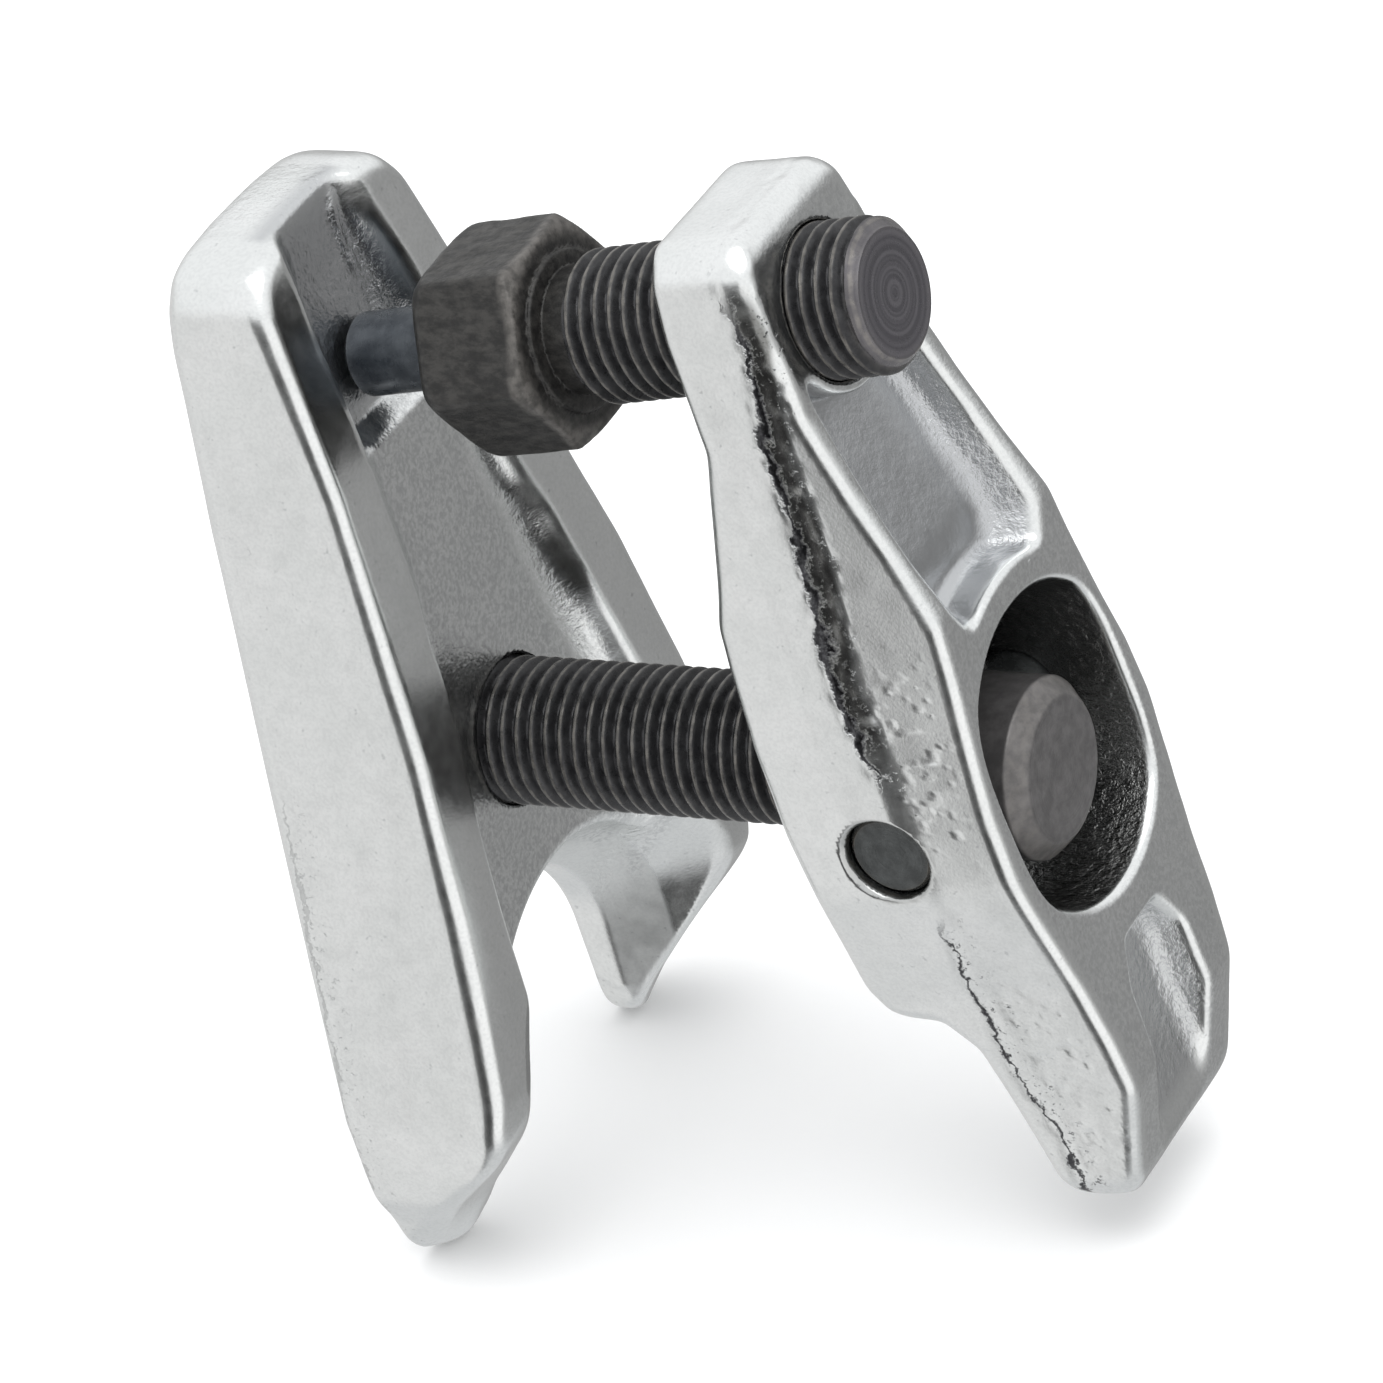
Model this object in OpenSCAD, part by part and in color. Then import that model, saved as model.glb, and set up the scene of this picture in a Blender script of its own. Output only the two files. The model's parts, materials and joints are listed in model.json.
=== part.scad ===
/* [Screws] */
// Outside diameter of both screw threads
thread_d = 18; // [16:0.5:18]
// Pitch of both threads
pitch = 2; // [1.5:0.5:2.5]
// Width of the forcing screw's hexagon across its flats
hex_flats = 24; // [22:0.5:27]
// Diameter of the thrust pin in the end of the forcing screw
thrust_d = 10; // [8:0.1:10.4]
// Diameter of the pivot bolt's head
head_d = 21.6; // [20:0.2:23]
// Diameter of the cross pin that the lever swings on
cross_d = 10.4; // [9:0.1:11]

/* [Arms] */
// Height of the pivot bolt above the tips of the tines
pivot_h = 60; // [59:0.1:61]
// Distance from the fork arm's back to the cross pin
pivot_reach = 80.6; // [78:0.2:84]
// Lean of the lever, top towards the fork arm, in degrees
lever_lean = 8.5; // [7.5:0.1:9.5]
// Distance from the cross pin up to the forcing screw
screw_arm = 61.6; // [60:0.2:63]
// Radius of the fork's notch
notch_r = 19.5; // [17:0.5:20]

/* [Hidden] */
$fn = 64;

// The frame's origin is on the floor, midway between the fork arm's back and the lever's front.
back_x = -50.8;
pivot_x = back_x + pivot_reach;
cut = 100;
fit_gap = 0.05;

// Fork arm: x is measured from its back and z from the pivot bolt's axis.
top_z = 74.2;
shoulder_z = 44;
foot_z = -36;
crown_half = 10.5;
top_half = 17.2;
shoulder_half = 20.5;
foot_half = 34.6;
rib_x = 25.6;
tine_x = 9.8;
tine_tip_y = 25.4;
tine_tip_r = 5.9;
dish_z = -42;
dish_r = 22.2;
flare_x = 27;
flare_r = 28.4;
notch_z = -44.6;
notch_chamfer = 2.2;
ridge_x = 17.6;
pocket_z = 45.3;
pocket_half = 7.4;
panel_low_x = 10.6;

// Lever arm: x is measured from the cross pin's axis along the forcing screw, and z up the lever.
lever_top = 76.4;
lever_foot = -54;
lever_back = -13.6;
lever_front = 15.6;
waist_half = 20.7;
window_z = 1.3;
window_r = 18.1;
window_half = 15.2;
slot_half = 12.2;

// Screws: x along the lever's own axis.
screw_end = 16.4;
thread_start = -23.8;
hex_x = -42.4;
hex_len = 15.2;
hex_turn = 32;
thrust_tip = -57.4;
thrust_depth = 10;

// Points on an arc about (cx, cy), from angle a0 to a1.
function arc(cx, cy, r, a0, a1, n) =
    [for (i = [0:n]) let (a = a0 + (a1 - a0) * i / n) [cx + r * cos(a), cy + r * sin(a)]];

// The mirror image of a run of points, in reverse order.
function mirrored(p) = [for (i = [len(p) - 1:-1:0]) [-p[i][0], p[i][1]]];

// Turns an outline drawn in (x, z) into a slab across the tool, and one in (y, z) into a slab along it.
module side_slab(points, half) {
    rotate([90, 0, 0]) translate([0, 0, -half]) linear_extrude(2 * half) polygon(points);
}
module front_slab(points, from, to) {
    translate([from, 0, 0]) rotate([90, 0, 90]) linear_extrude(to - from) polygon(points);
}
// A round bar or hole along x.
module bar(from, to, r) {
    translate([from, 0, 0]) rotate([0, 90, 0]) cylinder(h = to - from, r = r);
}
module cone(from, to, r1, r2) {
    translate([from, 0, 0]) rotate([0, 90, 0]) cylinder(h = to - from, r1 = r1, r2 = r2);
}

module fork_place() { translate([back_x, 0, pivot_h]) children(); }
module lever_place() { translate([pivot_x, 0, pivot_h]) rotate([0, -lever_lean, 0]) children(); }

// One side of the fork arm's outline, from the tip of a tine up to the crown.
function fork_half_outline() = concat(
    arc(tine_tip_y, -pivot_h + tine_tip_r, tine_tip_r, -180, -12, 12),
    [[foot_half - 2.6, -51.6], [foot_half - 0.9, -48], [foot_half - 0.2, -43],
     [foot_half, foot_z], [shoulder_half, shoulder_z], [top_half, 67.5],
     [crown_half + 4.4, top_z - 2.8], [crown_half + 1, top_z - 1.2], [crown_half / 2, top_z - 0.2],
     [0, top_z]]);

function fork_outline() = concat(fork_half_outline(), mirrored(fork_half_outline()));

// The fork arm seen from the side: nearly flat back, sloping ribs, thin tines.
function fork_side() = [
    [6, top_z], [3.2, top_z - 0.3], [1.2, top_z - 1.6], [0, 62], [0, 40], [0.8, 15], [2.8, foot_z],
    [3.4, -46], [4.6, -pivot_h - 1], [8.6, -pivot_h - 1], [10, -58], [13.8, -52.4], [20.6, -44.6],
    [24.6, -40], [rib_x + 1, foot_z + 2], [rib_x + 0.4, -8], [rib_x - 0.8, 12], [20.2, shoulder_z],
    [15, 68.5], [13.8, top_z - 1], [11, top_z - 0.2]];

// Space between the ribs, in front of the web.
module fork_channel() {
    intersection() {
        side_slab([[ridge_x, pocket_z], [19.4, 26], [20.6, 0], [21.2, -30], [40, -30],
                   [40, pocket_z]], cut);
        front_slab([[-11.6, pocket_z], [-14.4, 25], [-18.4, 2], [-20.6, -16], [-20.6, -30],
                    [20.6, -30], [20.6, -16], [18.4, 2], [14.4, 25], [11.6, pocket_z]], 0, cut);
    }
}

// The notch's front edge opens out to a ridge, and wider still from the ridge to the rib tops.
module fork_dish() {
    translate([0, 0, dish_z]) cone(tine_x, ridge_x, notch_r, dish_r);
    translate([0, 0, dish_z]) cone(ridge_x, flare_x, dish_r, flare_r);
    translate([0, 0, -cut]) linear_extrude(cut + dish_z)
        polygon([[tine_x, -notch_r], [ridge_x, -dish_r], [flare_x, -flare_r], [flare_x, flare_r],
                 [ridge_x, dish_r], [tine_x, notch_r]]);
}

// Seat of the thrust pin, open at the crown. Its floor leans back as the arm does.
module thrust_pocket() {
    intersection() {
        side_slab([[14.8, pocket_z], [12.1, 64], [11.6, top_z + 1], [40, top_z + 1],
                   [40, pocket_z]], cut);
        front_slab([[-pocket_half - 0.8, pocket_z], [pocket_half + 0.8, pocket_z],
                    [pocket_half, top_z + 1], [-pocket_half, top_z + 1]], 0, cut);
    }
}

module fork_arm() {
    color([0.78, 0.79, 0.8]) fork_place() difference() {
        intersection() {
            side_slab(fork_side(), cut);
            front_slab(fork_outline(), -1, cut);
        }
        fork_channel();
        thrust_pocket();
        fork_dish();
        translate([0, 0, notch_z]) bar(-1, cut, notch_r);
        translate([0, 0, notch_z]) cone(2.6, 5, notch_r + notch_chamfer, notch_r);
        front_slab([[-notch_r, notch_z], [notch_r, notch_z], [notch_r + 0.4, -cut],
                    [-notch_r - 0.4, -cut]], -1, cut);
        bar(-1, cut, thread_d / 2 + fit_gap);
    }
}

function lever_half_outline() = concat(
    [[12.6, lever_foot - 1], [14.3, -50.4], [15.4, -37], [17.2, -22]],
    [[waist_half, -4], [waist_half, 4], [16.4, 36], [15.4, 54], [12.8, 72.4], [9.4, lever_top]]);

function lever_outline() = concat(lever_half_outline(), mirrored(lever_half_outline()));

// The lever seen from the side: thick round the pin, thin at the head, stepped above the nose.
function lever_side() = [
    [-5.4, lever_top], [-6.2, 66], [-5.8, 52], [-12.9, 30], [lever_back, 15], [-12.9, -4],
    [lever_back, -20], [-12.2, -24], [-9.8, -25.2], [-5.4, -26], [-2.8, -30],
    [-0.8, -50.6], [0.8, -53.4], [3, lever_foot], [8.6, lever_foot + 0.2], [10.6, -51.4],
    [lever_front + 0.2, -37.4], [lever_front + 0.4, -30], [lever_front - 0.4, -8], [lever_front - 0.4, 10],
    [lever_front + 0.2, 27], [11, 44], [8.6, 54], [7.4, 72.8], [5.8, lever_top - 1.2]];

// Sunk panels in the lever's front, above and below the window. The sloping nose runs out the lower one.
module lever_pockets() {
    intersection() {
        side_slab([[3.2, 57], [4, 50], [9.6, 30], [9.6, 20], [cut, 20], [cut, 57]], cut);
        difference() {
            front_slab([[-10.2, 56], [-12, 34], [-11.6, 27], [-8.8, 22], [8.8, 22], [11.6, 27],
                        [12, 34], [10.2, 56]], 0, cut);
            translate([0, 0, screw_arm]) bar(-1, cut + 1, 10.6);
            translate([0, 0, window_z]) bar(-1, cut + 1, window_r + 5.4);
        }
    }
    intersection() {
        side_slab([[panel_low_x + 1, -20], [panel_low_x + 0.2, -34], [panel_low_x, -60], [cut, -60],
                   [cut, -20]], cut);
        front_slab([[-4.6, -22.6], [-7.4, -28], [-7.8, -38], [-5.6, -60], [5.6, -60], [7.8, -38],
                    [7.4, -28], [4.6, -22.6]], 0, cut);
    }
}

module lever_arm() {
    color([0.76, 0.77, 0.78]) lever_place() difference() {
        intersection() {
            side_slab(lever_side(), cut);
            front_slab(lever_outline(), -cut, cut);
        }
        lever_pockets();
        translate([0, 0, window_z]) intersection() {
            bar(-3, cut, window_r);
            translate([-cut, -window_half, -cut]) cube([2 * cut, 2 * window_half, 2 * cut]);
        }
        translate([0, 0, window_z]) intersection() {
            bar(-cut, cut, window_r - 1);
            translate([-cut, -slot_half, -cut]) cube([2 * cut, 2 * slot_half, 2 * cut]);
        }
        translate([0, 0, screw_arm]) bar(-cut, cut, thread_d / 2 + fit_gap);
        rotate([90, 0, 0]) translate([0, 0, -cut])
            cylinder(h = 2 * cut, r = cross_d / 2 + fit_gap);
        for (s = [-1, 1]) translate([0, s * waist_half, 0]) rotate([90 * s, 0, 0])
            cylinder(h = 1.4, r1 = cross_d / 2 + 1.4, r2 = cross_d / 2);
    }
}

// Rings of thread profile between two places along x, as an outline of radius against length.
function thread_points(from, to, r) =
    let (n = floor((to - from) / pitch), depth = 0.54 * pitch)
    [for (i = [0:n - 1], k = [0:3])
        [r - (k == 0 || k == 3 ? depth : 0), from + pitch * (i + [0.06, 0.42, 0.58, 0.94][k])]];

module pivot_bolt() {
    r = thread_d / 2;
    head_from = -9.6;
    head_to = 13.3;
    tail = -pivot_reach + 2;
    color([0.2, 0.19, 0.18]) translate([pivot_x, 0, pivot_h]) difference() {
        rotate([0, 90, 0]) rotate_extrude() polygon(concat(
            [[0, tail], [r - 1.6, tail]], thread_points(tail + 1, head_from - 2, r),
            [[r - 1, head_from], [head_d / 2 - 0.6, head_from], [head_d / 2, head_from + 0.6],
             [head_d / 2, head_to - 2.2], [head_d / 2 - 2.2, head_to], [0, head_to]]));
        rotate([90, 0, 0]) translate([0, 0, -cut]) cylinder(h = 2 * cut, r = cross_d / 2 + 0.1);
    }
}

module cross_pin() {
    half = waist_half - 1.5;
    color([0.2, 0.19, 0.18]) lever_place() rotate([90, 0, 0]) rotate_extrude()
        polygon([[0, -half], [cross_d / 2 - 0.5, -half], [cross_d / 2, -half + 0.5],
                 [cross_d / 2, half - 0.5], [cross_d / 2 - 0.5, half], [0, half]]);
}

module forcing_screw() {
    r = thread_d / 2;
    face = hex_x + hex_len;
    corner = hex_flats / sqrt(3);
    color([0.23, 0.21, 0.19]) lever_place() translate([0, 0, screw_arm]) difference() {
        union() {
            intersection() {
                translate([hex_x, 0, 0]) rotate([0, 90, 0]) rotate([0, 0, hex_turn])
                    cylinder(h = hex_len, r = corner, $fn = 6);
                rotate([0, 90, 0]) rotate_extrude() polygon([
                    [0, hex_x], [corner - 0.6, hex_x], [corner + 0.1, hex_x + 0.5],
                    [corner + 0.1, face - 1.2], [hex_flats / 2 - 0.3, face], [0, face]]);
            }
            rotate([0, 90, 0]) rotate_extrude() polygon(concat(
                [[0, face - 1], [r + 0.6, face - 1], [r + 0.6, face + 0.3], [r - 1.5, face + 0.8],
                 [r - 1.5, thread_start]],
                thread_points(thread_start, screw_end - 1.6, r),
                [[r - 1.6, screw_end], [0, screw_end]]));
        }
        bar(hex_x - 1, hex_x + thrust_depth, thrust_d / 2 + fit_gap);
    }
}

module thrust_pin() {
    r = thrust_d / 2;
    color([0.2, 0.22, 0.25]) lever_place() translate([0, 0, screw_arm])
        rotate([0, 90, 0]) rotate_extrude() polygon([
            [0, thrust_tip], [r - 0.8, thrust_tip], [r, thrust_tip + 0.8],
            [r, hex_x + thrust_depth - 0.3], [0, hex_x + thrust_depth - 0.3]]);
}

fork_arm();
lever_arm();
pivot_bolt();
cross_pin();
forcing_screw();
thrust_pin();
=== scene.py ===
"""A ball joint separator: a forked arm and a lever, joined by a pivot bolt and spread by a screw.

Shapes are worked out in millimetres, each in its own part's axes: x along the screws towards the
front, y across the tool and z up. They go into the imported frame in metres.
"""

import json

import bpy
import numpy as np
from mathutils import Matrix, Vector


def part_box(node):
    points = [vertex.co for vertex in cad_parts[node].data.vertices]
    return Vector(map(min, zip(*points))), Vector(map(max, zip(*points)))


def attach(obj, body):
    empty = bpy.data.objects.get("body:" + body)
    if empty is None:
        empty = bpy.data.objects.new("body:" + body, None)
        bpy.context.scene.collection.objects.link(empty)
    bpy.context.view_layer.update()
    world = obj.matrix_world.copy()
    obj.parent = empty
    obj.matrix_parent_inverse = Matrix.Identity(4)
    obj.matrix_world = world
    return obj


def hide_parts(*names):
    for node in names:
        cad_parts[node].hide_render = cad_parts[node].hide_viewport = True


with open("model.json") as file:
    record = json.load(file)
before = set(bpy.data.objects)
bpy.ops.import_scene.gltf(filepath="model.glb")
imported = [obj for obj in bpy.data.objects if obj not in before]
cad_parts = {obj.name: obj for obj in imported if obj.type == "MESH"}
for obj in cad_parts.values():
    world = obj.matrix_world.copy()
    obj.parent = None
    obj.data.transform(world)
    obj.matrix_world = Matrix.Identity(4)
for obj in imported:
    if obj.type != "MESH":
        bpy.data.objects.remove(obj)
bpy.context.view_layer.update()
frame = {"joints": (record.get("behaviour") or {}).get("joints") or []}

MM = 0.001

# Spacing of the points on the rounded pieces.
STEP = 0.5
FINE_STEP = 0.8 * STEP

joints = {joint["name"]: joint for joint in frame["joints"]}
PIVOT = np.array(joints["lever_swing"]["pos_m"]) / MM
FORWARD = -np.array(joints["screw_turn"]["axis"])
LEAN = np.arctan2(FORWARD[2], FORWARD[0])
UP_LEVER = np.array([-np.sin(LEAN), 0, np.cos(LEAN)])
SCREW_ARM = float((np.array(joints["screw_turn"]["pos_m"]) / MM - PIVOT) @ UP_LEVER)


def corner(node, which):
    """A CAD node's lowest (0) or highest (1) corner, in millimetres."""
    return np.array(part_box(node)[which]) / MM


BACK = corner("fork_arm", 0)[0]
FORK_TOP = corner("fork_arm", 1)[2] - PIVOT[2]
FORK_FOOT = corner("fork_arm", 0)[2] - PIVOT[2]
FOOT_HALF = corner("fork_arm", 1)[1]
WAIST_HALF = corner("lever_arm", 1)[1]
HEAD_R = corner("pivot_bolt", 1)[1]
HEAD_END = corner("pivot_bolt", 1)[0] - PIVOT[0]
BOLT_TAIL = corner("pivot_bolt", 0)[0] - PIVOT[0]
PIN_HALF = corner("cross_pin", 1)[1]
THRUST_R = corner("thrust_pin", 1)[1]

THREAD_R = 9.0
PITCH = 2.0
BORE_R = THREAD_R + 0.05
PIN_R = 5.2


class Place:
    """Where a part's own axes lie in the frame: their origin, and their lean about y."""

    def __init__(self, origin, lean=0.0):
        self.origin = np.array(origin, float)
        self.cos = np.cos(lean)
        self.sin = np.sin(lean)

    def turned(self, directions):
        """Directions in the part's own axes, turned into the frame's."""
        x, y, z = directions.T
        return np.stack([x * self.cos - z * self.sin, y, x * self.sin + z * self.cos], 1)

    def metres(self, points):
        """Points in the part's own axes, as places in the frame."""
        return (self.origin + self.turned(points)) * MM


FORK_PLACE = Place([BACK, 0, PIVOT[2]])
BOLT_PLACE = Place(PIVOT)
LEVER_PLACE = Place(PIVOT, LEAN)
SCREW_PLACE = Place(PIVOT + SCREW_ARM * UP_LEVER, LEAN)


# Smooth shapes as fields: less than nothing inside, more than nothing outside, in millimetres.


def blur(values, sigma):
    """Values smoothed along each of their axes by sigma steps."""
    reach = int(3 * sigma) + 1
    weights = np.exp(-0.5 * (np.arange(-reach, reach + 1) / sigma) ** 2)
    weights /= weights.sum()
    for axis, count in enumerate(values.shape):
        around = [(reach, reach) if a == axis else (0, 0) for a in range(values.ndim)]
        padded = np.pad(values, around, "edge")
        values = sum(
            w * np.take(padded, np.arange(count) + k, axis) for k, w in enumerate(weights)
        )
    return values


def smooth(value, start, end):
    """0 up to the start and 1 past the end, which may be the lower, with no sudden change."""
    t = np.clip((value - start) / (end - start), 0, 1)
    return t * t * (3 - 2 * t)


def blend(a, b, share):
    """A value between a and b, nearer b for a larger share."""
    return a + (b - a) * share


class Run:
    """A smooth function through (place, value) points."""

    STEP = 0.1

    def __init__(self, points, soften=1.5):
        places, values = np.array(sorted(points), float).T
        pad = 4 * soften
        self.places = np.arange(places[0] - pad, places[-1] + pad, self.STEP)
        self.values = blur(np.interp(self.places, places, values), soften / self.STEP)

    def __call__(self, at):
        return np.interp(at, self.places, self.values)


class Outline:
    """Distance to a closed outline, with its corners softened."""

    STEP = 0.25
    MARGIN = 5.0

    def __init__(self, points, soften):
        points = np.array(points, float)
        self.low = points.min(0) - self.MARGIN
        count = ((points.max(0) + self.MARGIN - self.low) / self.STEP).astype(int) + 1
        u = self.low[0] + self.STEP * np.arange(count[0])[:, None]
        v = self.low[1] + self.STEP * np.arange(count[1])[None, :]
        nearest = np.full(count, np.inf)
        inside = np.zeros(count, bool)
        for a, b in zip(points, np.roll(points, -1, 0)):
            edge = b - a
            along = ((u - a[0]) * edge[0] + (v - a[1]) * edge[1]) / (edge @ edge)
            along = np.clip(along, 0, 1)
            nearest = np.minimum(
                nearest, np.hypot(u - a[0] - along * edge[0], v - a[1] - along * edge[1])
            )
            if a[1] != b[1]:
                crossed = (v >= min(a[1], b[1])) & (v < max(a[1], b[1]))
                inside ^= crossed & (u < a[0] + (v - a[1]) * edge[0] / edge[1])
        self.values = blur(np.where(inside, -nearest, nearest), soften / self.STEP)

    def __call__(self, u, v):
        # Just short of the last point, so that every place has a point after it.
        last = np.array(self.values.shape) - 1.001
        u = np.clip((u - self.low[0]) / self.STEP, 0, last[0])
        v = np.clip((v - self.low[1]) / self.STEP, 0, last[1])
        i = u.astype(int)
        j = v.astype(int)
        u = u - i
        v = v - j
        near = blend(self.values[i, j], self.values[i, j + 1], v)
        far = blend(self.values[i + 1, j], self.values[i + 1, j + 1], v)
        return blend(near, far, u)


def both(half):
    """A whole outline from its right half, which runs from the foot up to the top."""
    return half + [(-u, v) for u, v in reversed(half) if u > 0]


def meet(a, b, r):
    """Solid where a and b both are, with the edge between them rounded to radius r."""
    return np.minimum(np.maximum(a, b), -r) + np.hypot(
        np.maximum(a + r, 0), np.maximum(b + r, 0)
    )


def cut(solid, hole, r):
    """The solid without the hole, with the hole's rim rounded to radius r."""
    return meet(solid, -hole, r)


def drafted(wall, height, slope):
    """A wall that leans outwards by the slope as the height grows."""
    return (wall - slope * height) / np.hypot(1, slope)


LATTICE_SIZE = 32
LATTICE = np.random.default_rng(5).uniform(-1, 1, (LATTICE_SIZE,) * 3)


def noise(x, y, z, size):
    """Smooth bumps of about that size, between -1 and 1."""
    total = 0.0
    cells = [np.floor(c / size) for c in (x, y, z)]
    parts = [c / size - cell for c, cell in zip((x, y, z), cells)]
    parts = [t * t * (3 - 2 * t) for t in parts]
    cells = [cell.astype(int) for cell in cells]
    for corner_of in np.ndindex(2, 2, 2):
        weight = 1.0
        for t, high in zip(parts, corner_of):
            weight = weight * (t if high else 1 - t)
        index = tuple((cell + high) % LATTICE_SIZE for cell, high in zip(cells, corner_of))
        total = total + weight * LATTICE[index]
    return total


def forged_waves(x, y, z):
    """Depth of the slight waves of a forged surface."""
    broad = 0.12 * noise(x, y, z, 21) + 0.05 * noise(x, y, z, 8.3)
    return broad + 0.025 * noise(y, z, x, 3.1) + 0.08


# The fork arm. Its x starts at its back, and its z at the pivot bolt's axis.

TIP_Y = 25.4
TIP_R = 5.9
TIP = [
    (TIP_Y + TIP_R * np.cos(a), FORK_FOOT + TIP_R + TIP_R * np.sin(a))
    for a in np.radians(np.linspace(-180, -12, 13))
]
FORK_FRONT = Outline(
    both(
        TIP
        + [(32.0, -51.6), (33.7, -48), (34.4, -43), (FOOT_HALF, -36), (20.5, 44), (17.2, 67.5)]
        + [(14.9, FORK_TOP - 2.8), (11.5, FORK_TOP - 1.2), (5.25, FORK_TOP - 0.2), (0, FORK_TOP)]
    ),
    0.8,
)
FORK_SIDE = Outline(
    [(6, FORK_TOP), (3.2, FORK_TOP - 0.3), (1.2, FORK_TOP - 1.6), (0, 62), (0, 40), (0.8, 15)]
    + [(2.8, -36), (3.4, -46), (4.6, -61), (8.6, -61), (10, -58), (13.8, -52.4), (20.6, -44.6)]
    + [(23, -42), (25.2, -38), (26.4, -32), (26.4, -22), (26, -8), (24.8, 12), (20.2, 44)]
    + [(15.3, 67.5)]
    + [(14.7, FORK_TOP - 3.6), (13.3, FORK_TOP - 1.3), (11, FORK_TOP - 0.2)],
    1.1,
)
FORK_LOW = [0, -FOOT_HALF, FORK_FOOT]
FORK_HIGH = [27.6, FOOT_HALF, FORK_TOP]
RIB_TOPS = Run([(-34, 26.6), (-8, 26), (12, 24.8), (44, 20.2), (68.5, 15), (76, 13)])
RIB_INNER = Run(
    [(-30, 20.6), (-15, 20.4), (-9, 20.1), (-4, 19.4), (2.6, 18.2), (10, 16.5), (17, 15.2)]
    + [(23, 14.6), (27, 13.4), (32, 12.5), (42, 12), (46, 10.9), (51, 10.4), (55, 9.8)]
    + [(60, 9.6), (64, 8.8), (69, 8.0), (72.5, 8.5), (76, 8.8)]
)
RIB_OUTER = Run([(-36, FOOT_HALF), (44, 20.5), (67.5, 17.2), (74, 12)])
RIB_CROWN = 0.8
POCKET_Z = 45.3
POCKET_RIDGE_Y = 5.4
POCKET_RIDGE_HALF = 0.8
POCKET_RIDGE_HEIGHT = 0.5
PARTING_X = 4.2
FORK_FLOOR = Run(
    [(-60, 21.6), (-30, 21.2), (0, 20.6), (26, 19.4), (POCKET_Z - 0.9, 17.7)]
    + [(POCKET_Z + 0.9, 14.8), (64, 12.1), (70, 11.9), (76, 11.9)],
    0.5,
)
NOTCH_R = 19.5
TINE_X = 9.7
RIDGE_X = 17.6
DISH_R = Run([(-5, NOTCH_R), (TINE_X, NOTCH_R), (RIDGE_X, 22.2), (27, 26.8), (30, 28.7)], 0.35)
DISH_Z = Run([(-5, -44.6), (TINE_X, -44.6), (RIDGE_X, -42), (30, -42)], 0.35)

# A place x and z on the tines' bevel, and its slope, at their inner and outer sides.
BEVEL_INNER = (13.4, -58.4, 0.605)
BEVEL_OUTER = (11.9, -51.8, 1.2)
BEVEL_INNER_Y = 22
BEVEL_SPREAD = 10
BEVEL_BACK = 7.6
BEVEL_RIM = 2.4

# Radii of the fork arm's rounded edges.
BACK_RIM = 3.0
FOOT_RIM = 1.4
FRONT_RIM = 2.1
TROUGH_RIM = 1.6
POCKET_RIM = 2.1
CROWN_RIM = 1.3
NOTCH_BACK_RIM = 4.2
NOTCH_RIM = 1.3
NOTCH_FRONT_RIM = 2.1
BORE_RIM = 0.5

# Slopes and fillets of the trough's walls, and of the pocket's above it.
TROUGH_DRAFT = 0.1
POCKET_DRAFT = 0.33
TROUGH_FILLET = 4.5
POCKET_FILLET = 2.8


def from_notch(x, y, z):
    """Distance from the notch's middle: its axis, or the plane below it."""
    return np.hypot(y, np.maximum(z - DISH_Z(x), 0))


def fork_notch(x, y, z):
    """The open notch, and the flare in front of it that widens at the ridge."""
    return from_notch(x, y, z) - DISH_R(x)


def fork_bevel(x, y, z):
    """The sloping front end of the tines, steeper on their outer side."""
    outer = np.clip((np.abs(y) - BEVEL_INNER_Y) / BEVEL_SPREAD, 0, 1.3)
    inner_line, outer_line = (
        start_x + slope * (z - start_z) for start_x, start_z, slope in (BEVEL_INNER, BEVEL_OUTER)
    )
    slope = blend(BEVEL_INNER[2], BEVEL_OUTER[2], outer)
    limit = np.maximum(blend(inner_line, outer_line, outer), BEVEL_BACK)
    return (x - limit) / np.hypot(1, slope)


def rib_crown(x, y, z):
    """How far the ribs' tops stand up in their middles, near the foot."""
    middle = (RIB_INNER(z) + RIB_OUTER(z)) / 2
    spread = (RIB_OUTER(z) - RIB_INNER(z)) / 2
    arch = np.maximum(1 - ((np.abs(y) - middle) / spread) ** 2, 0)
    return RIB_CROWN * arch * smooth(z, 12, -20) * smooth(x, 15, 22)


def fork_outside(x, y, z):
    """The fork arm without its trough, notch and bore."""
    profile = FORK_SIDE(x - rib_crown(x, y, z), z)
    rim = blend(BACK_RIM, FOOT_RIM, smooth(z, -38, -52))
    rim = blend(rim, FRONT_RIM, smooth(x, 8, 18))
    return meet(meet(profile, FORK_FRONT(y, z), rim), fork_bevel(x, y, z), BEVEL_RIM)


def fork_trough(x, y, z):
    """The trough between the ribs and the deeper pocket at its top."""
    draft = blend(TROUGH_DRAFT, POCKET_DRAFT, smooth(z, POCKET_Z - 2, POCKET_Z + 3))
    fillet = blend(TROUGH_FILLET, POCKET_FILLET, smooth(z, POCKET_Z - 4, POCKET_Z + 4))
    wall = drafted(np.abs(y) - RIB_INNER(z), x - RIB_TOPS(z), draft)
    return meet(wall, FORK_FLOOR(z) - x, fillet)


def fork_field(x, y, z):
    """The fork arm, with plain surfaces."""
    rim = blend(TROUGH_RIM, POCKET_RIM, smooth(z, 50, 58))
    rim = blend(rim, CROWN_RIM, smooth(z, 69, 72))
    solid = cut(fork_outside(x, y, z), fork_trough(x, y, z), rim)
    rim = blend(NOTCH_BACK_RIM, NOTCH_RIM, smooth(x, 4, 9))
    rim = blend(rim, NOTCH_FRONT_RIM, smooth(x, 19, 23))
    solid = cut(solid, fork_notch(x, y, z), rim)
    return cut(solid, np.hypot(y, z) - BORE_R, BORE_RIM)


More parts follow.
